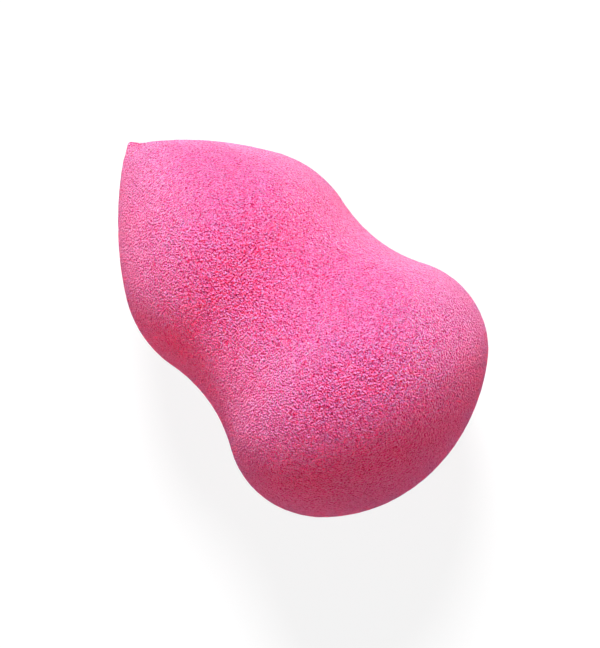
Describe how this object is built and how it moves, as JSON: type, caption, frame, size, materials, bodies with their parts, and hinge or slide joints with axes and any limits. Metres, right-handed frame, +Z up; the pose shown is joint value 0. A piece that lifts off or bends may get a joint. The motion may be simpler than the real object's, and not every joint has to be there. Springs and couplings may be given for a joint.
{
  "type": "makeup sponge",
  "caption": "Gourd-shaped makeup blending sponge in soft pink open-cell foam, with a domed base, a drawn-in waist and a pointed tip.",
  "frame": {"origin": "on the table, at the middle of the lying sponge's footprint", "axes": "+Z up from the table, +X towards the pointed tip, +Y across the sponge"},
  "size_m": [0.0622, 0.04, 0.0394],
  "materials": {
    "foam": "matte"
  },
  "bodies": {
    "root": {"foam_body": "foam"}
  },
  "joints": []
}
